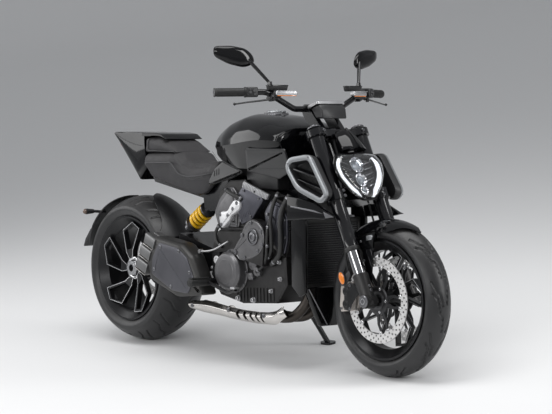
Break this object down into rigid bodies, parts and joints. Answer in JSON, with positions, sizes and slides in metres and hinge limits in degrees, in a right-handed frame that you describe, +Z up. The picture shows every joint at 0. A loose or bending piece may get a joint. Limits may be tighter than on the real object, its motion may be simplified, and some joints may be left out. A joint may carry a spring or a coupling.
{
  "type": "power cruiser motorcycle",
  "caption": "Long, low motorcycle with a muscular tank, wide rear tyre on a single-sided swingarm, shield headlight and wide bar, leaning on its side stand.",
  "frame": {"origin": "on the floor, under the middle of the machine's overall box", "axes": "+X forward, +Y to the rider's left, +Z up; the machine leans to the left on its side stand"},
  "size_m": [2.3623, 0.9048, 1.3334],
  "materials": {
    "tyre_rubber": "matt black tyre rubber with cut grooves",
    "black_alloy": "satin black cast alloy",
    "brushed_steel": "machined bright steel",
    "fork_black": "gloss black coated metal",
    "polished_chrome": "hard chrome",
    "grey_casting": "fine cast dark grey",
    "bright_casting": "bare bead-blasted alloy",
    "grip_rubber": "ribbed black rubber",
    "satin_plastic": "satin dark grey moulding",
    "gloss_black_paint": "deep gloss black",
    "intake_silver": "satin silver",
    "lamp_glass": "clear lamp cover",
    "lamp_red": "clear red lamp",
    "seat_fabric": "fine grained dark grey seat cover",
    "bronze_steel": "heat-tinted dark steel",
    "radiator_fins": "black fin core",
    "spring_yellow": "yellow coated spring steel",
    "shock_steel": "machined alloy"
  },
  "bodies": {
    "chassis": {"air_intakes": "intake_silver", "cylinders": "grey_casting", "drive_chain": "brushed_steel", "engine_case": "grey_casting", "engine_covers": "grey_casting", "exhaust_headers": "bronze_steel", "exhaust_shield": "brushed_steel", "footrests": "black_alloy", "fuel_tank": "gloss_black_paint", "main_frame": "fork_black", "passenger_seat": "seat_fabric", "plate_holder": "satin_plastic", "radiator": "radiator_fins", "radiator_shrouds": "satin_plastic", "rear_caliper": "bright_casting", "rear_hugger": "satin_plastic", "rear_shock": "shock_steel", "rider_seat": "seat_fabric", "shock_spring": "spring_yellow", "silencer": "bronze_steel", "swingarm": "black_alloy", "tail_cowl": "gloss_black_paint", "tail_light": "lamp_red", "tank_side_covers": "satin_plastic", "water_pump": "bright_casting"},
    "steering": {"lower_fork_clamp": "fork_black", "upper_fork_clamp": "fork_black", "fork_outer_tubes": "fork_black", "fork_stanchions": "polished_chrome", "fork_feet": "grey_casting", "front_axle": "brushed_steel", "handlebar": "fork_black", "hand_grips": "grip_rubber", "hand_controls": "satin_plastic", "bar_indicators": "bright_casting", "mirrors": "gloss_black_paint", "headlight": "fork_black", "headlight_units": "bright_casting", "headlight_lens": "lamp_glass", "headlight_cowl": "gloss_black_paint", "instrument_display": "satin_plastic", "front_fender": "gloss_black_paint", "front_calipers": "bright_casting", "brake_hoses": "grip_rubber"},
    "front_wheel": {"front_tyre": "tyre_rubber", "front_rim": "black_alloy", "front_discs": "brushed_steel"},
    "rear_wheel": {"rear_tyre": "tyre_rubber", "rear_rim": "black_alloy", "rear_disc": "brushed_steel", "rear_sprocket": "brushed_steel", "rear_stub_axle": "brushed_steel"},
    "side_stand": {"side_stand": "fork_black"},
    "fuel_cap": {"fuel_cap": "intake_silver"}
  },
  "joints": [
    {"name": "steering", "type": "hinge", "parent": "chassis", "child": "steering", "pos_m": [0.85348, -0.132, 0.28375], "axis": [-0.4377, 0.1406, 0.8881], "range_deg": [-30, 30]},
    {"name": "front_wheel_spin", "type": "hinge", "parent": "steering", "child": "front_wheel", "pos_m": [0.88121, -0.12989, 0.29709], "axis": [-0.0001, 0.9877, -0.1564], "continuous": true},
    {"name": "rear_wheel_spin", "type": "hinge", "parent": "chassis", "child": "rear_wheel", "pos_m": [-0.71177, -0.12613, 0.32206], "axis": [-0.0001, 0.9877, -0.1564], "continuous": true},
    {"name": "side_stand_fold", "type": "hinge", "parent": "chassis", "child": "side_stand", "pos_m": [0.14466, 0.02418, 0.2348], "axis": [0.0878, 0.9361, 0.3407], "range_deg": [0, 102]},
    {"name": "fuel_cap_hinge", "type": "hinge", "parent": "chassis", "child": "fuel_cap", "pos_m": [0.24228, -0.01681, 1.0115], "axis": [-0.0001, 0.9877, -0.1564], "range_deg": [0, 80]}
  ]
}
